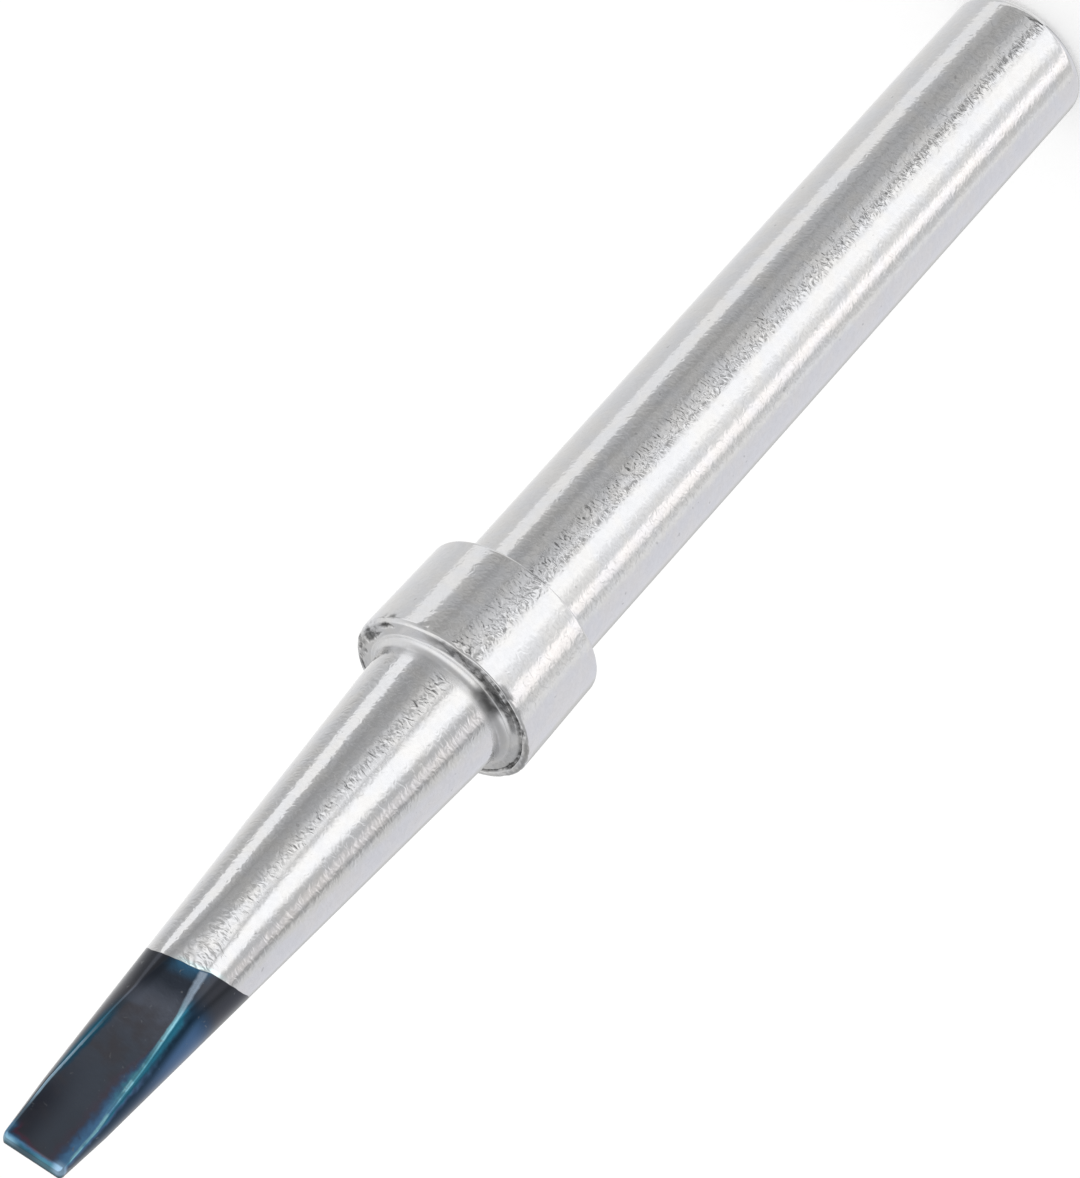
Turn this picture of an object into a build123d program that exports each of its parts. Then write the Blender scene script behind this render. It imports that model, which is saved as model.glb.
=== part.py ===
from build123d import *
from math import radians, tan
import os

os.makedirs("parts", exist_ok=True)

# Soldering iron tip, turned from one bar and milled to a chisel, in millimetres.
# It stands on the rear end of its shank, and +Z runs along its axis to the working end.

# Shank, the plain round length that goes into the iron's heater
shank_radius = 3.175
shank_length = 35.9
shank_end_round = 0.57

# Collar, which the iron's barrel nut holds; it widens a little towards the front
collar_length = 4.92
collar_rear_radius = 4.17
collar_front_radius = 4.28
collar_rear_round = 0.15
collar_front_round = 0.12

# Cone in front of the collar
cone_length = 26.44
cone_base_radius = 3.14
cone_half_angle = 3.57
cone_base_round = 0.4

# Chisel end, two milled flats that face -Y and +Y
blade_thickness = 1.0
flat_angle = 8.5
blade_edge_round = 0.2

# Places along the axis
collar_front = shank_length + collar_length
tip_end = collar_front + cone_length
cone_end_radius = cone_base_radius - cone_length * tan(radians(cone_half_angle))

# Each flat leans out from the end of the blade until it would reach the cone's base radius
half_thickness = blade_thickness / 2
flat_slope = tan(radians(flat_angle))
flat_reach = (cone_base_radius - half_thickness) / flat_slope
cutter_overrun = 1.0


def rims_at(height):
    # The turned rims at one height, smallest first
    rims = tip.edges().filter_by(GeomType.CIRCLE).filter_by_position(Axis.Z, height, height)
    return rims.sort_by(SortBy.RADIUS)


with BuildPart() as tip:
    # Turned body
    with BuildSketch(Plane.XZ):
        with BuildLine():
            Polyline(
                (0, 0),
                (shank_radius, 0),
                (shank_radius, shank_length),
                (collar_rear_radius, shank_length),
                (collar_front_radius, collar_front),
                (cone_base_radius, collar_front),
                (cone_end_radius, tip_end),
                (0, tip_end),
                close=True,
            )
        make_face()
    revolve(axis=Axis.Z)

    # Rounded rims, and the hollow corner where the cone leaves the collar
    fillet(rims_at(0)[-1], shank_end_round)
    fillet(rims_at(shank_length)[-1], collar_rear_round)
    fillet(rims_at(collar_front)[-1], collar_front_round)
    fillet(rims_at(collar_front)[0], cone_base_round)

    # Two milled flats
    with BuildSketch(Plane.YZ):
        with BuildLine():
            Polyline(
                (half_thickness - cutter_overrun * flat_slope, tip_end + cutter_overrun),
                (cone_base_radius, tip_end - flat_reach),
                (cone_base_radius, tip_end + cutter_overrun),
                close=True,
            )
        make_face()
        mirror(about=Plane.YZ)
    extrude(amount=cone_base_radius, both=True, mode=Mode.SUBTRACT)

    # Softened edges all round each flat, and round the end
    flats = tip.faces().filter_by(GeomType.PLANE).filter_by(lambda face: abs(face.normal_at().Y) > 0.9)
    end_rims = tip.faces().sort_by(Axis.Z)[-1].edges().filter_by(GeomType.CIRCLE)
    fillet(flats.edges() + end_rims, blade_edge_round)

tip.part.label = "soldering_tip"
export_step(tip.part, "parts/soldering_tip.step")
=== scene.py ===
from math import cos, pi, radians, sin, tan

import bpy
from mathutils import Matrix, Vector


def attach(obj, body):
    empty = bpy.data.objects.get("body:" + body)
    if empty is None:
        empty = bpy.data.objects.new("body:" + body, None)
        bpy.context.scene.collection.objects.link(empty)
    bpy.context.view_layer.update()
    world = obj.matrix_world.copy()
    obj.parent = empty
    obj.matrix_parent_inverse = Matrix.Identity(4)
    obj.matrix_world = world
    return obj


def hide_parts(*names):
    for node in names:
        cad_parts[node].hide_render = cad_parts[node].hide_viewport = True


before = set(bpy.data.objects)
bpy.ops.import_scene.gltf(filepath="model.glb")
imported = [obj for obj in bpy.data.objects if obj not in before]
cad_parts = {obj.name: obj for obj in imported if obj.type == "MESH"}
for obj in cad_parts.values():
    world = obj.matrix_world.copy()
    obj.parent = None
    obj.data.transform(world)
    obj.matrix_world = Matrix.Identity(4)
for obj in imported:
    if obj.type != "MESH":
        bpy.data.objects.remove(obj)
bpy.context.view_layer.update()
mm = 0.001


# Camera: long lens, looking down on the standing tip and rolled so that the tip runs corner to corner

cameraSpot = {
    "standOff": 305.56 * mm,  # level distance from the tip's axis
    "height": 190.33 * mm,
    "turn": 12.6,             # degrees round the tip, away from square on to the flat
    "tilt": -27.07,
    "roll": -138.16,
    "lens": 260.4,            # millimetres, like the frame's width
    "frameWidth": 36,
    "clipStart": 10 * mm,
}


def placeCamera(spot):
    turn = Matrix.Rotation(radians(-spot["turn"]), 3, "Z")
    ahead = Vector((0, cos(radians(spot["tilt"])), sin(radians(spot["tilt"]))))
    level = Vector((1, 0, 0))
    over = level.cross(ahead)
    roll = radians(spot["roll"])
    right = cos(roll) * level + sin(roll) * over
    up = cos(roll) * over - sin(roll) * level
    facing = Matrix((turn @ right, turn @ up, turn @ -ahead)).transposed()
    data = bpy.data.cameras.new("photoCamera")
    data.lens = spot["lens"]
    data.sensor_width = spot["frameWidth"]
    data.clip_start = spot["clipStart"]
    camera = bpy.data.objects.new("photoCamera", data)
    place = turn @ Vector((0, -spot["standOff"], spot["height"]))
    camera.matrix_world = Matrix.Translation(place) @ facing.to_4x4()
    bpy.context.scene.collection.objects.link(camera)
    bpy.context.scene.camera = camera


placeCamera(cameraSpot)
print("camera placed")


# Node helpers: a node with its settings, a sum worked by Math nodes, and a link

def addNode(tree, kind, **settings):
    node = tree.nodes.new(kind)
    for name, value in settings.items():
        setattr(node, name, value)
    return node


def feed(tree, socket, value):
    if isinstance(value, bpy.types.NodeSocket):
        tree.links.new(value, socket)
    else:
        socket.default_value = value


def emptyTree(owner):
    owner.use_nodes = True
    owner.node_tree.nodes.clear()
    return owner.node_tree


def partsOf(tree, vector):
    node = addNode(tree, "ShaderNodeSeparateXYZ")
    feed(tree, node.inputs[0], vector)
    return [node.outputs[name] for name in "XYZ"]


def stretchedBy(tree, vector, scale):
    node = addNode(tree, "ShaderNodeMapping")
    feed(tree, node.inputs["Vector"], vector)
    feed(tree, node.inputs["Scale"], scale)
    return node.outputs[0]


def calc(tree, operation, *values, clamp=False):
    node = addNode(tree, "ShaderNodeMath", operation=operation, use_clamp=clamp)
    for socket, value in zip(node.inputs, values):
        feed(tree, socket, value)
    return node.outputs[0]


def product(tree, first, *others):
    for other in others:
        first = calc(tree, "MULTIPLY", first, other)
    return first


def ramp(tree, value, low, high, outLow=0.0, outHigh=1.0, kind="SMOOTHSTEP"):
    node = addNode(tree, "ShaderNodeMapRange", interpolation_type=kind)
    for name, number in (("Value", value), ("From Min", low), ("From Max", high),
                         ("To Min", outLow), ("To Max", outHigh)):
        feed(tree, node.inputs[name], number)
    return node.outputs["Result"]


def near(tree, value, centre, whole, none):
    # One within the first distance of the centre, and nothing past the second
    away = calc(tree, "ABSOLUTE", calc(tree, "SUBTRACT", value, centre))
    return ramp(tree, away, whole, none, 1.0, 0.0)


def overZone(tree, value, zone, unit=1):
    # A zone is where it starts and ends, in millimetres, and the values before and after it
    start, end, before, after = zone
    return ramp(tree, value, start * mm, end * mm, before * unit, after * unit)


def aroundZone(tree, value, zone):
    # A zone here is the three distances that near asks for, in millimetres
    return near(tree, value, *[place * mm for place in zone])


def noiseAt(tree, spot, size, detail=2.0, distortion=0.0, w=0.0):
    node = addNode(tree, "ShaderNodeTexNoise", noise_dimensions="4D")
    scale = calc(tree, "DIVIDE", 1.0, size) if isinstance(size, bpy.types.NodeSocket) else 1 / size
    for name, value in (("Vector", spot), ("W", w), ("Scale", scale),
                        ("Detail", detail), ("Distortion", distortion)):
        feed(tree, node.inputs[name], value)
    return node.outputs[0]


def noiseOf(tree, spot, kind):
    # The kind holds the noise's size in millimetres, detail, distortion and W
    return noiseAt(tree, spot, kind[0] * mm, *kind[1:])


# The tip: a turned outline, swung round the axis and pressed to two flats by Geometry Nodes

tipShape = {  # millimetres and degrees, as the solid has them
    "shankRadius": 3.175,
    "shankLength": 35.9,
    "shankRound": 0.57,
    "collarLength": 4.92,
    "collarRearRadius": 4.17,
    "collarFrontRadius": 4.28,
    "collarRearRound": 0.15,
    "collarFrontRound": 0.2,
    "coneLength": 26.44,
    "coneRadius": 3.14,
    "coneAngle": 3.57,
    "coneRound": 0.4,
    "bladeThickness": 1.0,
    "flatAngle": 8.5,
    "edgeRound": 0.17,        # between a flat and the round sides
    "endRound": 0.3,          # between a flat and the end
    "cornerRound": 0.25,      # the end's two corners, seen square on to a flat
    "columns": 360,
}

ringPlan = {  # millimetres
    "innerRound": 0.06,       # where the shank meets the collar
    "support": 0.003,         # from a round to the ring beside it
    "level": 0.01,            # heights this close are taken as one
    "wornReach": 1.1,         # wear and dirt reach this far from the collar's front face, both ways
    "bladeReach": 11,         # down from the working end
    # How far apart two rings may be
    "onFace": 0.035,
    "nearFace": 0.08,
    "onBlade": 0.14,
    "onEnd": 0.15,
    "elsewhere": 2.5,
}

tipWear = {  # millimetres; angles are degrees round from +X
    "endLean": 0.07,          # the end's slope along X
    "sideWear": 0.05,         # share of the half width lost at the end
    "ridgeRadius": 3.42,      # burr round the cone's foot
    "ridgeHeight": 0.03,
    "grooveRadius": 4.22,     # tool groove in the collar's front face, off centre so that it meets the rim
    "grooveShift": 0.36,
    "grooveTurn": 155,
    "grooveWidth": 0.05,
    "grooveDepth": 0.11,
    "troughRadius": 3.88,     # a shallower dip inside it, with painted shade in it
    "troughWidth": 0.46,
    "troughDepth": 0.05,
    "troughArc": (-116, 20),  # where it is deep, and how far it reaches each way
    "scaleArc": (-129, 7),    # dark scale on the cone's foot
    "roughArc": (2, 26),      # scuffed part of the face
    "nickDepth": 0.06,
    # Angle, place outwards on the face and on over the rim, reach round and across, and share of that depth
    "nicks": [
        (178, 4.24, 2.60, 0.15, 0.45),
        (166, 3.75, 1.70, 0.45, 0.30),
        (-13, 3.80, 0.64, 0.22, 1.0),
        (-22, 3.67, 0.42, 0.09, 0.8),
        (-16, 4.02, 0.28, 0.10, 0.9),
        (-36, 3.98, 0.42, 0.16, 1.0),
        (-2, 4.20, 0.28, 0.10, 0.7),
        (6, 4.02, 0.26, 0.10, 0.8),
        (7, 3.77, 0.22, 0.09, 0.6),
        (22, 4.06, 0.50, 0.11, 1.0),
        (-44, 4.50, 0.30, 0.09, 0.7),
        (-127, 4.44, 0.50, 0.22, 0.45),
        (-148, 4.09, 0.40, 0.09, 1.0),
        (-156, 4.20, 0.18, 0.12, 0.9),
        (161, 3.85, 0.34, 0.12, 1.0),
        (134, 3.89, 0.30, 0.09, 0.9),
    ],
    "dentDepth": 0.035,       # all round the rim
    "dentSize": 0.45,
}

wearZones = {  # millimetres
    # From the working end: where a zone starts and ends, and the values before and after it
    "crowdedColumns": (7, 10, 1.0, 0.0),
    "edgeRound": (5, 9, 1.0, 0.5),
    "narrowed": (0, 2.6, 1.0, 0.0),
    "slanted": (0, 3, 1.0, 0.0),
    # The same, from the axis
    "onCollar": (3.4, 3.5, 0.0, 1.0),
    "onRim": (3.95, 4.1, 0.0, 1.0),
    "rimNicks": (4.05, 4.15, 0.0, 1.0),
    "scale": (3.58, 3.7, 0.95, 0.0),
    # The same, outwards on the collar's front face and on over the rim
    "scuffsStart": (3.7, 3.9, 0.0, 1.0),
    "scuffsEnd": (4.25, 4.4, 1.0, 0.0),
    # Over the collar's front face: a centre, and the distances from it where the zone is whole and ends
    "onFace": (0, 0.02, 0.12),
    "rimHeight": (0, 0.15, 0.6),
    "ridgeHeight": (0, 0.05, 0.15),
    "scaleHeight": (0, 0.12, 0.6),
    # Noises: size, detail, distortion and W
    "slowNoise": (1.3, 1.0, 0.0, 2.0),
    "quickNoise": (0.3, 2.0, 0.6, 7.0),
    # Two values of a noise, and the values that they give
    "dents": (0.5, 0.75, 0.0, 1.0),
    "brokenGroove": (0.3, 0.55, 0.5, 1.0),
    "brokenScuffs": (0.48, 0.62, 0.0, 0.5),
    "shadedDip": (0.4, 0.6, 0.6, 0.95),
    "brokenGrimeAndShade": (0.3, 0.6, 0.75, 1.0),
}


def roundedOutline(corners, support):
    # Corners are (radius, height, round, steps); each round becomes an arc with a support point on both sides
    points = []
    for index, (radius, height, rounding, steps) in enumerate(corners):
        here = Vector((radius, height))
        if rounding == 0:
            points.append(here)
            continue
        before = (Vector(corners[index - 1][:2]) - here).normalized()
        after = (Vector(corners[index + 1][:2]) - here).normalized()
        half = before.angle(after) / 2
        reach = rounding / tan(half)
        centre = here + (before + after).normalized() * (rounding / sin(half))
        start = here + before * reach
        end = here + after * reach
        points.append(start + before * support)
        spread = (start - centre).angle_signed(end - centre)
        for step in range(steps + 1):
            spoke = (start - centre).copy()
            spoke.rotate(Matrix.Rotation(-spread * step / steps, 2))
            points.append(centre + spoke)
        points.append(end + after * support)
    return points


def splitLong(points, longest):
    # Long runs get more rings: longest(middle) says how far apart two rings may be there
    result = [points[0]]
    for start, end in zip(points, points[1:]):
        count = max(1, round((end - start).length / longest((start + end) / 2)))
        result += [start.lerp(end, step / count) for step in range(1, count + 1)]
    return result


def tipOutline(shape, plan):
    collarFront = shape["shankLength"] + shape["collarLength"]
    tipEnd = collarFront + shape["coneLength"]
    coneSlope = tan(radians(shape["coneAngle"]))
    endRadius = shape["coneRadius"] - shape["coneLength"] * coneSlope
    wornReach = plan["wornReach"]
    collarSlope = (shape["collarFrontRadius"] - shape["collarRearRadius"]) / shape["collarLength"]
    corners = [
        (0, 0, 0, 0),
        (shape["shankRadius"], 0, shape["shankRound"], 8),
        (shape["shankRadius"], shape["shankLength"], plan["innerRound"], 3),
        (shape["collarRearRadius"], shape["shankLength"], shape["collarRearRound"], 5),
        (shape["collarFrontRadius"] - wornReach * collarSlope, collarFront - wornReach, 0, 0),
        (shape["collarFrontRadius"], collarFront, shape["collarFrontRound"], 6),
        (shape["coneRadius"], collarFront, shape["coneRound"], 8),
        (shape["coneRadius"] - wornReach * coneSlope, collarFront + wornReach, 0, 0),
        (endRadius, tipEnd, shape["cornerRound"], 10),
        (0, tipEnd, 0, 0),
    ]

    def longest(middle):
        # Close rings on the collar's front face and round it, and on the blade
        fromFace = abs(middle.y - collarFront)
        if middle.y > tipEnd - plan["level"]:
            return plan["onEnd"]
        if fromFace < wornReach:
            return plan["onFace"] if fromFace < plan["level"] else plan["nearFace"]
        return plan["onBlade"] if middle.y > tipEnd - plan["bladeReach"] else plan["elsewhere"]

    return splitLong(roundedOutline(corners, plan["support"]), longest)


def turnedTree(nicks, zones):
    tree = bpy.data.node_groups.new("turnedTip", "GeometryNodeTree")
    made = tree.interface
    made.new_socket("Outline", in_out="INPUT", socket_type="NodeSocketGeometry")
    made.new_socket("Columns", in_out="INPUT", socket_type="NodeSocketInt")
    for name in ("Face Height", "Tip End", "End Radius", "Half Thickness", "Flat Slope", "Edge Round",
                 "End Round", "End Lean", "Side Wear", "Ridge Radius", "Ridge Height", "Groove Radius",
                 "Groove Shift", "Groove Turn", "Groove Width", "Groove Depth", "Trough Radius",
                 "Trough Width", "Trough Depth", "Trough At", "Trough Reach", "Scale At", "Scale Reach",
                 "Rough At", "Rough Reach", "Nick Depth", "Dent Depth", "Dent Size"):
        made.new_socket(name, in_out="INPUT", socket_type="NodeSocketFloat")
    made.new_socket("Finish", in_out="INPUT", socket_type="NodeSocketMaterial")
    made.new_socket("Tip", in_out="OUTPUT", socket_type="NodeSocketGeometry")
    given = addNode(tree, "NodeGroupInput").outputs
    result = addNode(tree, "NodeGroupOutput")

    def vector(x, y, z):
        node = addNode(tree, "ShaderNodeCombineXYZ")
        for socket, value in zip(node.inputs, (x, y, z)):
            feed(tree, socket, value)
        return node.outputs[0]

    # One column of points for each step round the axis, one row for each point of the outline
    rows = addNode(tree, "GeometryNodeAttributeDomainSize", component="MESH")
    feed(tree, rows.inputs[0], given["Outline"])
    rowCount = rows.outputs["Point Count"]
    grid = addNode(tree, "GeometryNodeMeshGrid")
    feed(tree, grid.inputs["Vertices X"], calc(tree, "ADD", given["Columns"], 1.0))
    feed(tree, grid.inputs["Vertices Y"], rowCount)
    index = addNode(tree, "GeometryNodeInputIndex").outputs[0]
    row = calc(tree, "MODULO", index, rowCount)
    column = calc(tree, "FLOOR", calc(tree, "DIVIDE", calc(tree, "ADD", index, 0.5), rowCount))
    quarters = calc(tree, "MULTIPLY", calc(tree, "DIVIDE", column, given["Columns"]), 4.0)
    spot = addNode(tree, "GeometryNodeInputPosition").outputs[0]
    sampled = addNode(tree, "GeometryNodeSampleIndex", data_type="FLOAT_VECTOR", domain="POINT")
    feed(tree, sampled.inputs["Geometry"], given["Outline"])
    feed(tree, sampled.inputs["Value"], spot)
    feed(tree, sampled.inputs["Index"], row)
    radius, _, height = partsOf(tree, sampled.outputs[0])

    # The flats' distance from the axis at this height, rounded into the end
    below = calc(tree, "SUBTRACT", given["Tip End"], height)
    lean = calc(tree, "MULTIPLY_ADD", below, given["Flat Slope"], given["Half Thickness"])
    past = calc(tree, "MAXIMUM", calc(tree, "SUBTRACT", given["End Round"], below), 0.0)
    chord = calc(tree, "SQRT", calc(tree, "SUBTRACT", calc(tree, "POWER", given["End Round"], 2.0),
                                    calc(tree, "POWER", past, 2.0)))
    flat = calc(tree, "ADD", calc(tree, "SUBTRACT", lean, given["End Round"]), chord)

    # Columns crowd towards the flats' edges on the blade, and are even elsewhere
    outer = calc(tree, "MAXIMUM", radius, given["End Radius"])
    edgeAngle = calc(tree, "ARCSINE", calc(tree, "MINIMUM", calc(tree, "DIVIDE", lean, outer), 1.0))
    quarter = calc(tree, "PINGPONG", quarters, 1.0)
    sideShare, crowding = 0.6, 0.55
    toEdge = calc(tree, "DIVIDE", quarter, sideShare, clamp=True)
    fromEdge = calc(tree, "DIVIDE", calc(tree, "SUBTRACT", quarter, sideShare), 1 - sideShare, clamp=True)
    bend = product(tree, toEdge, calc(tree, "SUBTRACT", 1.0, toEdge), crowding)
    sidePart = calc(tree, "MULTIPLY", edgeAngle, calc(tree, "ADD", toEdge, bend))
    bend = product(tree, fromEdge, calc(tree, "SUBTRACT", 1.0, fromEdge), crowding)
    flatPart = calc(tree, "MULTIPLY", calc(tree, "SUBTRACT", pi / 2, edgeAngle),
                    calc(tree, "SUBTRACT", fromEdge, bend))
    crowded = calc(tree, "ADD", sidePart, flatPart)
    even = calc(tree, "MULTIPLY", quarter, pi / 2)
    onBlade = overZone(tree, below, zones["crowdedColumns"])
    acute = calc(tree, "MULTIPLY_ADD", calc(tree, "SUBTRACT", crowded, even), onBlade, even)
    turnAngle = calc(tree, "MULTIPLY", quarters, pi / 2)

    def wholeTurn(operation):
        # The acute angle's sine or cosine, with the sign that it has in its quarter
        sign = calc(tree, "SIGN", calc(tree, operation, turnAngle))
        return calc(tree, "MULTIPLY", calc(tree, operation, acute), sign)

    cosine, sine = wholeTurn("COSINE"), wholeTurn("SINE")

    # Distance from the flats' edges, more than zero on a flat and less on the round sides
    inside = calc(tree, "MULTIPLY", outer, calc(tree, "SUBTRACT", calc(tree, "COSINE", edgeAngle),
                                                calc(tree, "COSINE", acute)))
    outside = calc(tree, "MULTIPLY", outer, calc(tree, "SUBTRACT", acute, edgeAngle))
    onFlat = calc(tree, "GREATER_THAN", inside, 0.0)
    edgeGap = calc(tree, "MULTIPLY_ADD", calc(tree, "SUBTRACT", inside, outside), onFlat, outside)

    # Wear on the collar's front: a groove and a dip in its face, a burr round the foot, nicks and dents
    grooveWander, troughWander, ridgeWander = 0.1 * mm, 0.2 * mm, 0.2 * mm
    grooveCore, grooveSide, troughCore = 0.5, 2.2, 0.55     # shares of their widths
    ridgeSide = 0.06 * mm
    troughSoft, scaleSoft, roughSoft = 0.6, 0.22, 0.2       # radians, past an arc's reach
    underOne = 0.99999        # keeps an arccosine's value within its range

    def arc(name, soft):
        towards = calc(tree, "COSINE", calc(tree, "SUBTRACT", turnAngle,
                                            calc(tree, "MULTIPLY", given[name + " At"], pi / 180)))
        away = calc(tree, "ARCCOSINE", calc(tree, "MULTIPLY", towards, underOne))
        reach = calc(tree, "MULTIPLY", given[name + " Reach"], pi / 180)
        return ramp(tree, away, reach, calc(tree, "ADD", reach, soft), 1.0, 0.0)

    base = vector(calc(tree, "MULTIPLY", radius, cosine), calc(tree, "MULTIPLY", radius, sine), height)
    slow = calc(tree, "SUBTRACT", noiseOf(tree, base, zones["slowNoise"]), 0.5)
    quick = noiseOf(tree, base, zones["quickNoise"])
    dents = noiseAt(tree, base, given["Dent Size"], 2.0, 0.0, 3.7)
    above = calc(tree, "SUBTRACT", height, given["Face Height"])
    outwards = calc(tree, "SUBTRACT", radius, above)
    onCollar = overZone(tree, radius, zones["onCollar"])
    onFace = product(tree, aroundZone(tree, above, zones["onFace"]), onCollar)
    nearRim = product(tree, aroundZone(tree, above, zones["rimHeight"]),
                      overZone(tree, radius, zones["onRim"]))
    shifted = calc(tree, "COSINE", calc(tree, "SUBTRACT", turnAngle, given["Groove Turn"]))
    grooveHere = calc(tree, "SUBTRACT", given["Groove Radius"],
                      calc(tree, "MULTIPLY", shifted, given["Groove Shift"]))
    grooveHere = calc(tree, "MULTIPLY_ADD", slow, grooveWander, grooveHere)
    grooveCut = near(tree, radius, grooveHere, calc(tree, "MULTIPLY", given["Groove Width"], grooveCore),
                     calc(tree, "MULTIPLY", given["Groove Width"], grooveSide))
    grooveCut = product(tree, grooveCut, ramp(tree, quick, *zones["brokenGroove"]), onFace)
    troughHere = calc(tree, "MULTIPLY_ADD", slow, troughWander, given["Trough Radius"])
    trough = near(tree, radius, troughHere, calc(tree, "MULTIPLY", given["Trough Width"], troughCore),
                  given["Trough Width"])
    trough = product(tree, trough, arc("Trough", troughSoft), onFace)
    dent = product(tree, ramp(tree, dents, *zones["dents"]), nearRim)
    ridgeHere = calc(tree, "MULTIPLY_ADD", slow, ridgeWander, given["Ridge Radius"])
    ridge = near(tree, radius, ridgeHere, 0.0, ridgeSide)
    ridge = product(tree, ridge, aroundZone(tree, above, zones["ridgeHeight"]))

    # Each nick is a ragged oval in angle and in place outwards
    nickCore, nickSide, raggedness = 0.5, 1.2, 2.4          # shares of its reach
    nickCut = calc(tree, "MULTIPLY", onCollar, 0.0)
    nickDark = nickCut
    ragged = calc(tree, "MULTIPLY", calc(tree, "SUBTRACT", quick, 0.5), raggedness)
    angle = calc(tree, "ARCTAN2", sine, cosine)
    for at, place, reachRound, reachAcross, depth in nicks:
        turned = calc(tree, "WRAP", calc(tree, "SUBTRACT", angle, radians(at)), pi, -pi)
        wide = calc(tree, "POWER", calc(tree, "MULTIPLY", turned, place / reachRound), 2.0)
        deep = calc(tree, "POWER", calc(tree, "DIVIDE", calc(tree, "SUBTRACT", outwards, place * mm),
                                        reachAcross * mm), 2.0)
        away = calc(tree, "ADD", calc(tree, "SQRT", calc(tree, "ADD", wide, deep)), ragged)
        nick = product(tree, ramp(tree, away, nickCore, nickSide, 1.0, 0.0), onCollar)
        nickCut = calc(tree, "MULTIPLY_ADD", nick, depth, nickCut)
        nickDark = calc(tree, "MAXIMUM", nickDark, calc(tree, "MULTIPLY", nick, depth))

    onRimShare = 0.6          # a nick is shallower where it goes over the rim
    cut = calc(tree, "MULTIPLY", grooveCut, given["Groove Depth"])
    cut = calc(tree, "MULTIPLY_ADD", trough, given["Trough Depth"], cut)
    cut = calc(tree, "MULTIPLY_ADD", product(tree, nickCut, onFace), given["Nick Depth"], cut)
    drop = calc(tree, "SUBTRACT", cut, calc(tree, "MULTIPLY", ridge, given["Ridge Height"]))
    rimCut = product(tree, nickCut, overZone(tree, radius, zones["rimNicks"]), given["Nick Depth"],
                     onRimShare)
    rimCut = calc(tree, "MULTIPLY_ADD", dent, given["Dent Depth"], rimCut)
    newRadius = calc(tree, "SUBTRACT", radius, rimCut)

    # The round section pressed to the flats, worn narrower towards the end and to a slant
    slantStart = 1.3 * mm     # along X
    full = calc(tree, "MULTIPLY", calc(tree, "MAXIMUM", newRadius, given["End Radius"]),
                calc(tree, "ABSOLUTE", sine))
    edgeRound = calc(tree, "MULTIPLY", given["Edge Round"], overZone(tree, below, zones["edgeRound"]))
    pressed = calc(tree, "SMOOTH_MIN", full, flat, edgeRound)
    share = calc(tree, "DIVIDE", radius, outer)
    deep = product(tree, pressed, share, calc(tree, "SIGN", sine))
    worn = calc(tree, "MULTIPLY", overZone(tree, below, zones["narrowed"]), given["Side Wear"])
    across = product(tree, newRadius, cosine, calc(tree, "SUBTRACT", 1.0, worn))
    slant = product(tree, calc(tree, "SUBTRACT", slantStart, across), given["End Lean"],
                    overZone(tree, below, zones["slanted"]))
    slant = calc(tree, "MAXIMUM", slant, 0.0)
    high = calc(tree, "SUBTRACT", calc(tree, "SUBTRACT", height, drop), slant)

    # Where the colour darkens: dirt and painted shade in the groove and the nicks, painted shade in the dip,
    # dirt in the scuffs, and dark scale on the cone's foot
    foot = product(tree, arc("Scale", scaleSoft), aroundZone(tree, above, zones["scaleHeight"]),
                   overZone(tree, radius, zones["scale"]))
    scuffs = product(tree, arc("Rough", roughSoft), ramp(tree, quick, *zones["brokenScuffs"]), onCollar,
                     overZone(tree, outwards, zones["scuffsStart"]),
                     overZone(tree, outwards, zones["scuffsEnd"]))
    grimeAndShade = product(tree, trough, ramp(tree, quick, *zones["shadedDip"]))
    for dirty in (grooveCut, scuffs, nickDark, foot):
        grimeAndShade = calc(tree, "MAXIMUM", grimeAndShade, dirty)
    grimeAndShade = product(tree, grimeAndShade, ramp(tree, quick, *zones["brokenGrimeAndShade"]),
                    calc(tree, "SUBTRACT", 1.0, ridge))

    samePoint = 0.00005 * mm  # the seam and the outline's two ends close
    noted = grid.outputs["Mesh"]
    for name, value in (("edgeGap", edgeGap), ("grimeAndShade", grimeAndShade)):
        store = addNode(tree, "GeometryNodeStoreNamedAttribute", data_type="FLOAT", domain="POINT")
        feed(tree, store.inputs["Geometry"], noted)
        feed(tree, store.inputs["Name"], name)
        feed(tree, store.inputs["Value"], value)
        noted = store.outputs["Geometry"]
    placed = addNode(tree, "GeometryNodeSetPosition")
    feed(tree, placed.inputs["Geometry"], noted)
    feed(tree, placed.inputs["Position"], vector(across, deep, high))
    merged = addNode(tree, "GeometryNodeMergeByDistance")
    feed(tree, merged.inputs["Geometry"], placed.outputs[0])
    feed(tree, merged.inputs["Distance"], samePoint)
    smooth = addNode(tree, "GeometryNodeSetShadeSmooth")
    feed(tree, smooth.inputs["Geometry"], merged.outputs[0])
    realized = addNode(tree, "GeometryNodeRealizeInstances")
    feed(tree, realized.inputs[0], smooth.outputs[0])
    finished = addNode(tree, "GeometryNodeSetMaterial")
    feed(tree, finished.inputs["Geometry"], realized.outputs[0])
    feed(tree, finished.inputs["Material"], given["Finish"])
    feed(tree, result.inputs[0], finished.outputs[0])
    return tree


def setInputs(modifier, values):
    for item in modifier.node_group.interface.items_tree:
        if item.item_type == "SOCKET" and item.in_out == "INPUT" and item.name in values:
            modifier[item.identifier] = values[item.name]


def plainMesh(source, name):
    # The modifier's result as a mesh of its own, in an object at the origin
    bpy.context.view_layer.update()
    depsgraph = bpy.context.evaluated_depsgraph_get()
    mesh = bpy.data.meshes.new_from_object(source.evaluated_get(depsgraph))
    piece = bpy.data.objects.new(name, mesh)
    bpy.context.scene.collection.objects.link(piece)
    source.modifiers.clear()
    bpy.data.objects.remove(source)
    return piece


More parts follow.
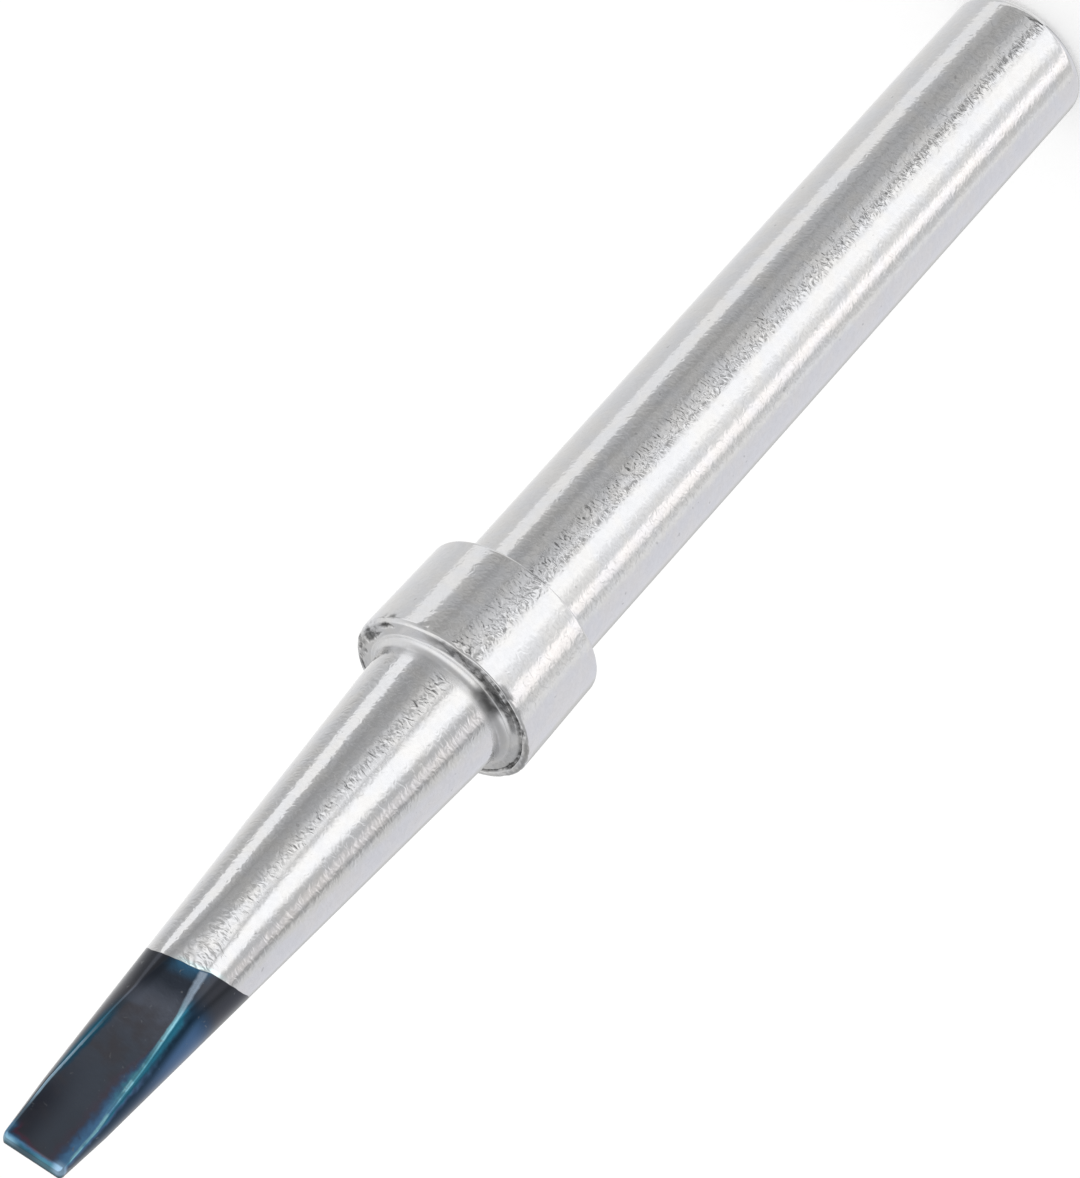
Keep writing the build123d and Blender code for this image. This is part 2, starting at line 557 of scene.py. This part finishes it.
def makeTip(shape, plan, wear, zones, finish):
    points = [Vector((point.x, 0, point.y)) * mm for point in tipOutline(shape, plan)]
    outline = bpy.data.meshes.new("tipOutline")
    outline.from_pydata(points, [(i, i + 1) for i in range(len(points) - 1)], [])
    source = bpy.data.objects.new("tipOutline", outline)
    bpy.context.scene.collection.objects.link(source)
    modifier = source.modifiers.new("turned", "NODES")
    modifier.node_group = turnedTree(wear["nicks"], zones)
    faceHeight = shape["shankLength"] + shape["collarLength"]
    endRadius = shape["coneRadius"] - shape["coneLength"] * tan(radians(shape["coneAngle"]))
    cornerReach = shape["cornerRound"] / tan(radians(45 + shape["coneAngle"] / 2))
    values = {
        "Columns": shape["columns"],
        "Face Height": faceHeight * mm,
        "Tip End": (faceHeight + shape["coneLength"]) * mm,
        "End Radius": (endRadius - cornerReach) * mm,    # of the end's flat face
        "Half Thickness": shape["bladeThickness"] / 2 * mm,
        "Flat Slope": tan(radians(shape["flatAngle"])),
        "End Lean": wear["endLean"],
        "Side Wear": wear["sideWear"],
        "Groove Turn": radians(wear["grooveTurn"]),
        "Finish": finish,
    }
    for name in ("Edge Round", "End Round", "Ridge Radius", "Ridge Height", "Groove Radius", "Groove Shift",
                 "Groove Width", "Groove Depth", "Trough Radius", "Trough Width", "Trough Depth",
                 "Nick Depth", "Dent Depth", "Dent Size"):
        key = name[0].lower() + name[1:].replace(" ", "")
        values[name] = (shape | wear)[key] * mm
    for name in ("Trough", "Scale", "Rough"):
        values[name + " At"], values[name + " Reach"] = wear[name.lower() + "Arc"]
    setInputs(modifier, values)
    return plainMesh(source, "turnedTip")


# Finish: bright nickel plate, and a thin dark blue coat from a slanting line to the working end

tipFinish = {
    "plateColour": (0.80, 0.80, 0.80, 1),
    "plateRoughness": 0.09,
    "footRoughness": 0.2,
    # dirt, and painted shade in the collar's groove, dip and nicks
    "grimeAndShadeColour": (0.05, 0.05, 0.05, 1),
    "grimeAndShadeShare": 0.95,
    "grimeRoughness": 0.3,    # on top of the plate's
    "fringeColour": (0.84, 0.98, 1.0, 1),
    "fringeWidth": 0.26 * mm,
    "fringeWhole": 0.4,       # share of that width, beside the coat
    "coatLine": 56.79 * mm,   # height of the coat's edge on the axis
    "coatLeanX": 0.238,
    "coatLeanY": -0.3765,
    "coatWaver": 0.3 * mm,
    "coatRoughness": 0.16,
    "coatSmooths": 0.85,      # share of the grain that the coat fills
    "footSmooths": 0.8,       # share that is gone on the cone's foot
    "coatPale": (0.135, 0.150, 0.190, 1),      # where the flats begin
    "coatGrey": (0.084, 0.098, 0.125, 1),
    "coatDark": (0.042, 0.046, 0.062, 1),      # towards the end, on the +X side
    "coatSide": (0.082, 0.084, 0.096, 1),
    "coatBrown": (0.085, 0.078, 0.085, 1),
    "coatDarkByEdge": (0.028, 0.036, 0.050, 1),      # darker along the coat's edge
    # a painted reflection of a bright light, beside the coat's edge
    "coatReflectedPatch": (0.040, 0.140, 0.250, 1),
    "coatNavy": (0.018, 0.042, 0.075, 1),      # on the round side that is turned from +X
    # blue with a painted reflection, on the round side turned from +X
    "coatBlueReflection": (0.065, 0.140, 0.265, 1),
    "bandInner": (0.085, 0.300, 0.390, 1),     # soft band of thin film on the flats, beside their edges
    "bandOuter": (0.075, 0.135, 0.250, 1),
    "bandBlue": (0.110, 0.260, 0.460, 1),      # towards the end
    "bandSide": (0.030, 0.200, 0.310, 1),      # over the edge, on the round side
    "bandDark": (0.018, 0.120, 0.190, 1),      # where the band is narrow
    "bandFar": (0.026, 0.085, 0.140, 1),
    "bandBorder": (0.170, 0.050, 0.100, 1),
    "highlightGrey": (0.33, 0.41, 0.51, 1),         # painted highlight on the edges themselves, tinted like thin film
    "highlightBlue": (0.29, 0.60, 0.71, 1),
    "highlightPale": (0.42, 0.62, 0.78, 1),
    # the end: a painted highlight in thin-film colours
    "endHighlight": (0.22, 0.42, 0.56, 1),
    "endTeal": (0.070, 0.215, 0.285, 1),
    "endDim": (0.026, 0.095, 0.140, 1),
    "endDark": (0.030, 0.050, 0.060, 1),
    # a painted highlight at the end's -X corner
    "cornerHighlight": (0.36, 0.56, 0.76, 1),
    "coatSpeck": (0.25, 0.26, 0.27, 1),
    "endHeight": 67.17 * mm,  # of the worn end on the axis, and its slope along X
    "endLean": 0.07,
    "plusReach": 0.3 * mm,    # the band's width on the +X side, and the bright line's
    "plusLineReach": 0.07 * mm,
    "lineStartsOver": (0.1 * mm, 1.2 * mm),    # past the coat's edge, on the -X side and on the +X side
    "warmTone": (1.0, 0.990, 0.980, 1),        # faint clouds of colour on the plate
    "coolTone": (0.970, 0.976, 1.0, 1),
    "pitColour": (0.45, 0.45, 0.45, 1),
    "grainSize": 0.42 * mm,
    "grainStretch": 1.4,
    "grainDepth": 0.010 * mm,
    "toolMarkSize": 0.09 * mm,
    "toolMarkDepth": 0.004 * mm,
}

plateZones = {  # millimetres
    # Where a zone starts and ends, and the values before and after it: past the coat's line, and outwards
    "coatStart": (-0.015, 0.015, 0.0, 1.0),
    "foot": (3.38, 3.5, 1.0, 0.0),
    "face": (3.3, 3.5, 0.0, 1.0),
    # A centre, and the distances from it where the zone is whole and ends: along X, and over the face
    "fringeAcross": (-0.4, 0.5, 1.3),
    "footHeight": (0.2, 0.3, 0.6),
    "faceHeight": (0, 0.06, 0.16),
    # Noises: size, detail, distortion and W, and without the size where that is in tipFinish
    "waver": (1.4, 2.0, 0.0, 0.0),
    "tints": (1.2, 2.0, 0.5, 41.0),
    "pits": (0.3, 1.0, 0.0, 17.0),
    "grain": (0.6, 1.6, 1.0),
    "tone": (1.0, 1.6, 31.0),
    "rings": (1.0, 0.0, 4.0),
    # Two values of a noise, and the values that they give
    "toned": (0.3, 0.7, 0.0, 0.1),
    "tinted": (0.35, 0.65, 0.0, 1.0),
    "pitted": (0.73, 0.78, 0.0, 0.5),
}

coatZones = {  # millimetres
    # Along Z: where a zone starts and ends, and the values before and after it
    "flatGreyer": (59, 62, 0.0, 1.0),
    "flatDarker": (62.5, 65.5, 0.0, 1.0),
    "navy": (57.8, 59, 0.0, 1.0),
    "blueStart": (58.0, 59.6, 0.0, 1.0),
    "blueEnd": (60.2, 63.2, 1.0, 0.15),
    "minusReach": (60.5, 63.4, 0.18, 0.6),     # a Reach or an At gives millimetres
    "sideReach": (62, 64, -0.5, -0.35),
    "minusStart": (58.4, 59.6, 0.0, 1.0),
    "minusFull": (60.5, 62.6, 0.2, 1.0),
    "minusReddish": (60, 62, 0.0, 0.13),
    "plusStart": (59.6, 61.8, 0.0, 1.0),
    "plusEnd": (63.3, 64.5, 1.0, 0.1),
    "bandBluer": (62.8, 64.4, 0.0, 1.0),
    "minusLineAt": (64, 65, 0.07, -0.04),
    "minusLineReach": (57.6, 59.8, 0.23, 0.12),
    "lineWhole": (60, 62, 1.0, 0.0),
    "lineBluer": (58.5, 59.8, 0.0, 1.0),
    "plusLineAt": (58, 62, -0.04, 0.05),
    "plusLineStart": (60.6, 63.4, 0.0, 1.0),
    "plusLineEnd": (65, 66, 1.0, 0.3),
    # The same along X
    "plusSide": (-0.4, 0.4, 0.0, 1.0),
    "darkerSide": (-0.2, 1.1, 0.0, 1.0),
    "endReach": (-0.3, 0.9, 0.15, 0.3),
    "paleSide": (0.5, 1.1, 0.0, 1.0),
    "cornerAcross": (-1.2, -0.8, 1.0, 0.0),
    # The same along Y
    "darkBehind": (0.0, 0.3, 0.0, 1.0),
    "cornerDeep": (-0.1, 0.2, 1.0, 0.0),
    # The same from the flats' edges, more than zero on a flat
    "onSide": (-0.12, 0.02, 1.0, 0.0),
    "blueAway": (-1.0, -0.45, 1.0, 0.0),
    # The same past the coat's edge
    "darkByEdge": (1.3, 2.7, 0.9, 0.0),
    "reflectedPatch": (0.25, 1.1, 1.0, 0.0),
    # The same from the working end
    "endStart": (0.5, 1.0, 1.0, 0.0),
    "endFull": (0.5, 1.0, 0.6, 0.0),
    "endReddish": (0.6, 1.0, 0.4, 0.0),
    "atEnd": (0.02, 0.15, 0.95, 0.0),
    "cornerAlong": (0.1, 0.42, 1.0, 0.0),
    # A centre, and the distances from it where the zone is whole and ends
    "reflectedPatchAcross": (-0.1, 0.4, 1.1),
    "dimAcross": (0.4, 0.25, 0.9),
    "paleDeep": (-0.25, 0.1, 0.35),
    # Noises: size, detail, distortion and W
    "clouds": (1.1, 2.0, 0.3, 5.0),
    "flecks": (0.3, 1.0, 0.4, 9.0),
    "breaks": (0.7, 1.0, 0.0, 13.0),
    "specks": (0.24, 1.0, 0.8, 21.0),
    # Two values of a noise or a share, and the values that they give
    "brownClouds": (0.45, 0.75, 0.0, 0.7),
    "bandOutwards": (0.15, 0.75, 0.0, 1.0),
    "bandFades": (0.45, 1.1, 1.0, 0.0),
    "lineFades": (0.3, 1.0, 1.0, 0.0),
    "lineBreaks": (0.42, 0.56, 0.15, 1.0),
    "fewSpecks": (0.69, 0.77, 0.0, 0.45),
    "border": (1.05, 0.0, 0.5),                # a share, and how far round it
}


def blend(tree, factor, first, second, kind="MIX"):
    node = addNode(tree, "ShaderNodeMix", data_type="RGBA", blend_type=kind)
    feed(tree, node.inputs["Factor"], factor)
    feed(tree, node.inputs["A"], first)
    feed(tree, node.inputs["B"], second)
    return node.outputs["Result"]


def colourRamp(tree, place, stops):
    node = addNode(tree, "ShaderNodeValToRGB")
    row = node.color_ramp.elements
    row.remove(row[-1])
    for index, (at, colour) in enumerate(stops):
        stop = row[0] if index == 0 else row.new(at)
        stop.position = at
        stop.color = colour
    feed(tree, node.inputs[0], place)
    return node.outputs["Color"]


def attributeOf(tree, name):
    return addNode(tree, "ShaderNodeAttribute", attribute_type="GEOMETRY", attribute_name=name).outputs["Fac"]


def coatColours(tree, look, zones, spot, past, gap):
    # The coat's colour: darker at its own edge, thin-film tints beside the flats' edges and at the end,
    # painted highlights on the edges and the end, and painted reflections on one round side and in one patch
    x, y, z = partsOf(tree, spot)
    cloud = noiseOf(tree, spot, zones["clouds"])
    fleck = calc(tree, "SUBTRACT", noiseOf(tree, spot, zones["flecks"]), 0.5)
    breaks = noiseOf(tree, spot, zones["breaks"])
    darkByEdgeWander, reflectedPatchWander, sideWander, endWander = 0.8 * mm, 0.7 * mm, 0.4 * mm, 0.12 * mm
    bandWander, lineWander = 0.7, 0.5         # shares of their reach

    def zone(value, name, unit=1):
        return overZone(tree, value, zones[name], unit)

    def wandering(value, noise, reach):
        return calc(tree, "MULTIPLY_ADD", noise, reach, value)

    plusSide = zone(x, "plusSide")
    minusSide = calc(tree, "SUBTRACT", 1.0, plusSide)

    def sides(minus, plus):
        # One value on the -X side of the flats and another on the +X side
        return calc(tree, "ADD", calc(tree, "MULTIPLY", minus, minusSide),
                    calc(tree, "MULTIPLY", plus, plusSide))

    # The flats, from pale to dark, with brownish clouds
    coat = blend(tree, zone(z, "flatGreyer"), look["coatPale"], look["coatGrey"])
    coat = blend(tree, product(tree, zone(x, "darkerSide"), zone(z, "flatDarker")), coat, look["coatDark"])
    coat = blend(tree, ramp(tree, cloud, *zones["brownClouds"]), coat, look["coatBrown"])

    # The round sides: dark, and on the one turned from +X blue with a painted reflection over the coat's tint
    onSide = zone(gap, "onSide")
    coat = blend(tree, onSide, coat, look["coatSide"])
    coat = blend(tree, product(tree, onSide, minusSide, zone(z, "navy")), coat, look["coatNavy"])
    along = product(tree, zone(z, "blueStart"), zone(z, "blueEnd"))
    coat = blend(tree, product(tree, zone(gap, "blueAway"), minusSide, along), coat, look["coatBlueReflection"])

    # Darker beside the coat's own edge, less so on the round sides, with one blue patch that is a painted
    # reflection of a bright light
    sideLess = -0.5
    darkByEdge = zone(wandering(past, cloud, darkByEdgeWander), "darkByEdge")
    darkByEdge = product(tree, darkByEdge, calc(tree, "MULTIPLY_ADD", onSide, sideLess, 1.0))
    coat = blend(tree, darkByEdge, coat, look["coatDarkByEdge"])
    reflectedPatch = product(tree, zone(wandering(past, cloud, reflectedPatchWander), "reflectedPatch"),
                    aroundZone(tree, wandering(x, fleck, sideWander), zones["reflectedPatchAcross"]))
    coat = blend(tree, reflectedPatch, coat, look["coatReflectedPatch"])

    # Soft band of thin film beside the flats' edges, and at the end's +X corner, with a faint red border
    fromEnd = calc(tree, "SUBTRACT", calc(tree, "MULTIPLY_ADD", x, look["endLean"], look["endHeight"]), z)
    share = calc(tree, "DIVIDE", gap, sides(zone(z, "minusReach", mm), look["plusReach"]))
    sideShare = calc(tree, "DIVIDE", gap, zone(z, "sideReach", mm))
    endShare = calc(tree, "DIVIDE", fromEnd, zone(x, "endReach", mm))
    share = calc(tree, "MINIMUM", calc(tree, "MAXIMUM", share, sideShare), endShare)
    share = wandering(share, fleck, bandWander)
    plusBand = product(tree, zone(z, "plusStart"),
                       calc(tree, "MAXIMUM", zone(z, "plusEnd"), zone(fromEnd, "endStart")))
    begun = sides(zone(z, "minusStart"), plusBand)
    full = sides(zone(z, "minusFull"), zone(fromEnd, "endFull"))
    inner = blend(tree, zone(z, "bandBluer"), look["bandInner"], look["bandBlue"])
    inner = blend(tree, full, look["bandDark"], inner)
    inner = blend(tree, product(tree, onSide, minusSide), inner, look["bandSide"])
    outer = blend(tree, full, look["bandFar"], look["bandOuter"])
    reddish = sides(zone(z, "minusReddish"), zone(fromEnd, "endReddish"))
    border = product(tree, near(tree, share, *zones["border"]), begun, reddish,
                     calc(tree, "SUBTRACT", 1.0, onSide))
    coat = blend(tree, border, coat, look["bandBorder"])
    band = blend(tree, ramp(tree, share, *zones["bandOutwards"]), inner, outer)
    coat = blend(tree, product(tree, ramp(tree, share, *zones["bandFades"]), begun), coat, band)

    # Painted highlight on the edge itself, tinted like thin film: grey and wide where the -X edge begins,
    # broken further on
    lineAt = sides(zone(z, "minusLineAt", mm), zone(z, "plusLineAt", mm))
    lineReach = sides(zone(z, "minusLineReach", mm), look["plusLineReach"])
    fromLine = calc(tree, "DIVIDE", calc(tree, "ABSOLUTE", calc(tree, "SUBTRACT", gap, lineAt)), lineReach)
    line = ramp(tree, wandering(fromLine, fleck, lineWander), *zones["lineFades"])
    minusLine = calc(tree, "MAXIMUM", ramp(tree, breaks, *zones["lineBreaks"]), zone(z, "lineWhole"))
    plusLine = product(tree, zone(z, "plusLineStart"), zone(z, "plusLineEnd"))
    startsOver = sides(*look["lineStartsOver"])
    line = product(tree, line, sides(minusLine, plusLine), ramp(tree, past, 0.0, startsOver))
    colour = blend(tree, zone(z, "lineBluer"), look["highlightGrey"], look["highlightBlue"])
    coat = blend(tree, line, coat, blend(tree, plusSide, colour, look["highlightPale"]))

    # The end: a painted highlight across its round, in thin-film colours, palest towards the +X corner, dark
    # behind, and another painted highlight at the -X corner
    atEnd = zone(wandering(fromEnd, fleck, endWander), "atEnd")
    deep = wandering(y, fleck, endWander)
    pale = product(tree, zone(x, "paleSide"), aroundZone(tree, deep, zones["paleDeep"]))
    dim = aroundZone(tree, x, zones["dimAcross"])
    endCoat = blend(tree, pale, blend(tree, dim, look["endTeal"], look["endDim"]), look["endHighlight"])
    endCoat = blend(tree, zone(deep, "darkBehind"), endCoat, look["endDark"])
    coat = blend(tree, atEnd, coat, endCoat)
    corner = product(tree, zone(x, "cornerAcross"), zone(fromEnd, "cornerAlong"), zone(y, "cornerDeep"))
    coat = blend(tree, corner, coat, look["cornerHighlight"])

    # A few light specks
    speck = ramp(tree, noiseOf(tree, spot, zones["specks"]), *zones["fewSpecks"])
    return blend(tree, speck, coat, look["coatSpeck"])


def tipMaterial(look, zones, films, faceHeight):
    material = bpy.data.materials.new("platedTip")
    tree = emptyTree(material)
    output = addNode(tree, "ShaderNodeOutputMaterial")
    surface = addNode(tree, "ShaderNodeBsdfPrincipled")
    feed(tree, output.inputs["Surface"], surface.outputs[0])
    spot = addNode(tree, "ShaderNodeTexCoord").outputs["Object"]
    grimeAndShade = attributeOf(tree, "grimeAndShade")
    x, y, z = partsOf(tree, spot)

    # How far a point lies past the coat's edge, which wavers a little
    line = calc(tree, "MULTIPLY_ADD", x, -look["coatLeanX"],
                calc(tree, "MULTIPLY_ADD", y, -look["coatLeanY"], z))
    waver = calc(tree, "SUBTRACT", noiseOf(tree, spot, zones["waver"]), 0.5)
    past = calc(tree, "SUBTRACT", line, look["coatLine"])
    past = calc(tree, "MULTIPLY_ADD", waver, look["coatWaver"], past)
    coated = overZone(tree, past, zones["coatStart"])

    # The plate: toned with its grain, faintly tinted, pitted, bluish beside the coat, and darkened in the
    # wear with dirt and painted shade
    stretched = stretchedBy(tree, spot, (1, 1, look["grainStretch"]))
    grain = noiseAt(tree, stretched, look["grainSize"], *zones["grain"])
    tone = ramp(tree, noiseAt(tree, stretched, look["grainSize"], *zones["tone"]), *zones["toned"])
    plate = blend(tree, tone, look["plateColour"], look["pitColour"])
    tint = ramp(tree, noiseOf(tree, spot, zones["tints"]), *zones["tinted"])
    plate = blend(tree, 1.0, plate, blend(tree, tint, look["warmTone"], look["coolTone"]), "MULTIPLY")
    pitted = ramp(tree, noiseOf(tree, spot, zones["pits"]), *zones["pitted"])
    plate = blend(tree, pitted, plate, look["pitColour"])
    fringe = ramp(tree, past, -look["fringeWidth"], -look["fringeWhole"] * look["fringeWidth"])
    fringe = product(tree, fringe, aroundZone(tree, x, zones["fringeAcross"]))
    plate = blend(tree, fringe, plate, look["fringeColour"])
    plate = blend(tree, calc(tree, "MULTIPLY", grimeAndShade, look["grimeAndShadeShare"]), plate, look["grimeAndShadeColour"])
    coat = coatColours(tree, look, films, spot, past, attributeOf(tree, "edgeGap"))
    feed(tree, surface.inputs["Base Color"], blend(tree, coated, plate, coat))
    feed(tree, surface.inputs["Metallic"], 1.0)

    # The cone's foot is duller, and its grain fades
    outwards = calc(tree, "SQRT", calc(tree, "ADD", calc(tree, "POWER", x, 2.0), calc(tree, "POWER", y, 2.0)))
    above = calc(tree, "SUBTRACT", z, faceHeight)
    smoothFoot = aroundZone(tree, above, zones["footHeight"])
    dullFoot = product(tree, smoothFoot, overZone(tree, outwards, zones["foot"], look["footRoughness"]))
    roughness = ramp(tree, coated, 0.0, 1.0, look["plateRoughness"], look["coatRoughness"], "LINEAR")
    roughness = calc(tree, "ADD", roughness, dullFoot)
    feed(tree, surface.inputs["Roughness"],
         calc(tree, "MULTIPLY_ADD", grimeAndShade, look["grimeRoughness"], roughness))

    # Orange peel, in short wriggling marks that run round the axis, and tool rings on the collar's front
    rings = addNode(tree, "ShaderNodeCombineXYZ")
    feed(tree, rings.inputs["X"], outwards)
    rings = noiseAt(tree, rings.outputs[0], look["toolMarkSize"], *zones["rings"])
    onFace = product(tree, aroundZone(tree, above, zones["faceHeight"]),
                     overZone(tree, outwards, zones["face"]))
    peel = product(tree, grain, look["grainDepth"],
                   calc(tree, "MULTIPLY_ADD", coated, -look["coatSmooths"], 1.0),
                   calc(tree, "MULTIPLY_ADD", smoothFoot, -look["footSmooths"], 1.0))
    rings = product(tree, rings, onFace, look["toolMarkDepth"])
    bump = addNode(tree, "ShaderNodeBump")
    feed(tree, bump.inputs["Height"], calc(tree, "ADD", peel, rings))
    feed(tree, bump.inputs["Distance"], 1.0)
    feed(tree, surface.inputs["Normal"], bump.outputs[0])
    return material


frontFace = (tipShape["shankLength"] + tipShape["collarLength"]) * mm
plated = tipMaterial(tipFinish, plateZones, coatZones, frontFace)
tip = makeTip(tipShape, ringPlan, tipWear, wearZones, plated)
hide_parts("soldering_tip")
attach(tip, "root")
print("tip made:", len(tip.data.polygons), "faces")


# Studio: white floor, pale walls all round and four tall soft boxes that the plate reflects

studioLook = {  # degrees round the tip from the camera, left positive, and brightness
    "lowWalls": [   # seen by the shank and the collar
        (-180, 0.48), (-150, 0.72), (-105, 0.80), (-88, 0.87), (-74, 0.68), (-44, 0.85), (-34, 0.92),
        (0, 0.76), (11, 0.64), (17, 0.45), (24, 0.33), (34, 0.54), (45, 0.48), (66, 0.44), (80, 0.72),
        (110, 0.74), (150, 0.84), (180, 0.98),
    ],
    "highWalls": [  # seen by the cone
        (-180, 0.50), (-125, 0.76), (-92, 0.73), (-81, 0.66), (-72, 0.36), (-44, 0.59), (-30, 0.84),
        (0, 0.92), (8, 0.85), (16, 0.86), (22, 0.87), (28, 0.67), (38, 0.42), (62, 0.42), (78, 0.62),
        (113, 0.49), (150, 0.98), (180, 1.14),
    ],
    "boxes": [
        {"at": -19, "whole": 8, "none": 20, "low": 1.22, "high": 1.24, "tint": (1.0, 1.0, 1.0)},
        {"at": -61, "whole": 3, "none": 14, "low": 1.28, "high": 0.72, "tint": (1.0, 0.972, 0.966)},
        {"at": -122, "whole": 22, "none": 34, "low": 0.82, "high": 0.79, "tint": (0.985, 0.985, 1.03)},
        {"at": 86, "whole": 9, "none": 14, "low": 0.96, "high": 1.08, "tint": (1.0, 1.0, 1.0)},
    ],
    "clutter": [    # bright and dark things in the room, wider than high, which the grain breaks up
        {"at": 14, "whole": 8, "none": 22, "low": 1.0, "high": 0.42},
        {"at": 48, "whole": 16, "none": 32, "low": 0.18, "high": 0.12},
        {"at": -60, "whole": 24, "none": 40, "low": 0.13, "high": 0.10},
    ],
    "clutterHeight": 0.055,
    "clutterStretch": 0.2,
    "clutterParts": (0.34, 0.66, -1.0, 1.0),   # two values of its noise, and what they give
    "sky": [        # over the walls
        (-180, 0.60), (-150, 0.50), (-90, 0.45), (0, 0.50), (60, 0.50), (100, 0.85), (150, 0.85),
        (180, 0.60),
    ],
    "overhead": [(-180, 1.12)],
    # Degrees over the horizon where the high walls, the sky and the overhead light begin and are whole
    "highFrom": (-27, -17),
    "skyFrom": (-12, -5),
    "overheadFrom": (35, 60),
}


def lightStudio(look, turn):
    world = bpy.data.worlds.new("studio")
    bpy.context.scene.world = world
    tree = emptyTree(world)
    output = addNode(tree, "ShaderNodeOutputWorld")
    glow = addNode(tree, "ShaderNodeBackground")
    feed(tree, output.inputs["Surface"], glow.outputs[0])
    direction = addNode(tree, "ShaderNodeTexCoord").outputs["Generated"]
    turned = addNode(tree, "ShaderNodeVectorRotate", rotation_type="Z_AXIS")
    feed(tree, turned.inputs["Vector"], direction)
    feed(tree, turned.inputs["Angle"], radians(turn))
    x, y, z = partsOf(tree, turned.outputs[0])
    place = calc(tree, "MULTIPLY", calc(tree, "ARCTAN2", x, calc(tree, "MULTIPLY", y, -1.0)), 180 / pi)
    elevation = calc(tree, "MULTIPLY", calc(tree, "ARCSINE", z), 180 / pi)
    upper = ramp(tree, elevation, *look["highFrom"])

    def wall(levels):
        stops = [((at + 180) / 360, (level, level, level, 1)) for at, level in levels]
        return colourRamp(tree, ramp(tree, place, -180, 180, kind="LINEAR"), stops)

    light = blend(tree, upper, wall(look["lowWalls"]), wall(look["highWalls"]))
    for box in look["boxes"]:
        colours = [[box[part] * tint for tint in box["tint"]] + [1] for part in ("low", "high")]
        colour = blend(tree, upper, *colours)
        light = blend(tree, near(tree, place, box["at"], box["whole"], box["none"]), light, colour)
    share = 1.0
    widened = stretchedBy(tree, direction, (look["clutterStretch"], look["clutterStretch"], 1))
    clutter = ramp(tree, noiseAt(tree, widened, look["clutterHeight"], 1.0), *look["clutterParts"])
    for things in look["clutter"]:
        here = near(tree, place, things["at"], things["whole"], things["none"])
        depth = ramp(tree, upper, 0, 1, things["low"], things["high"], "LINEAR")
        share = calc(tree, "MULTIPLY_ADD", clutter, calc(tree, "MULTIPLY", here, depth), share)
    dimmed = addNode(tree, "ShaderNodeVectorMath", operation="SCALE")
    feed(tree, dimmed.inputs[0], light)
    feed(tree, dimmed.inputs["Scale"], share)
    light = dimmed.outputs[0]
    for name in ("sky", "overhead"):
        light = blend(tree, ramp(tree, elevation, *look[name + "From"]), light, wall(look[name]))
    seen = addNode(tree, "ShaderNodeLightPath").outputs["Is Camera Ray"]
    feed(tree, glow.inputs["Color"], blend(tree, seen, light, (1, 1, 1, 1)))


floorLook = {"reach": 1.5, "colour": (0.9, 0.9, 0.9, 1), "roughness": 0.9, "glow": 0.3}


def makeFloor(look):
    size = look["reach"]
    corners = [(-size, -size, 0), (size, -size, 0), (size, size, 0), (-size, size, 0)]
    mesh = bpy.data.meshes.new("floor")
    mesh.from_pydata(corners, [], [(0, 1, 2, 3)])
    floor = bpy.data.objects.new("floor", mesh)
    bpy.context.scene.collection.objects.link(floor)
    floor.visible_glossy = False
    material = bpy.data.materials.new("paleFloor")
    material.use_nodes = True
    tree = material.node_tree
    surface = tree.nodes["Principled BSDF"]
    seen = addNode(tree, "ShaderNodeLightPath").outputs["Is Camera Ray"]
    feed(tree, surface.inputs["Base Color"], look["colour"])
    feed(tree, surface.inputs["Roughness"], look["roughness"])
    feed(tree, surface.inputs["Specular IOR Level"], 0.0)
    feed(tree, surface.inputs["Emission Color"], (1, 1, 1, 1))
    feed(tree, surface.inputs["Emission Strength"], calc(tree, "MULTIPLY", seen, look["glow"]))
    mesh.materials.append(material)


lightStudio(studioLook, cameraSpot["turn"])
makeFloor(floorLook)
bpy.context.scene.view_settings.view_transform = "Standard"
print("studio lit")
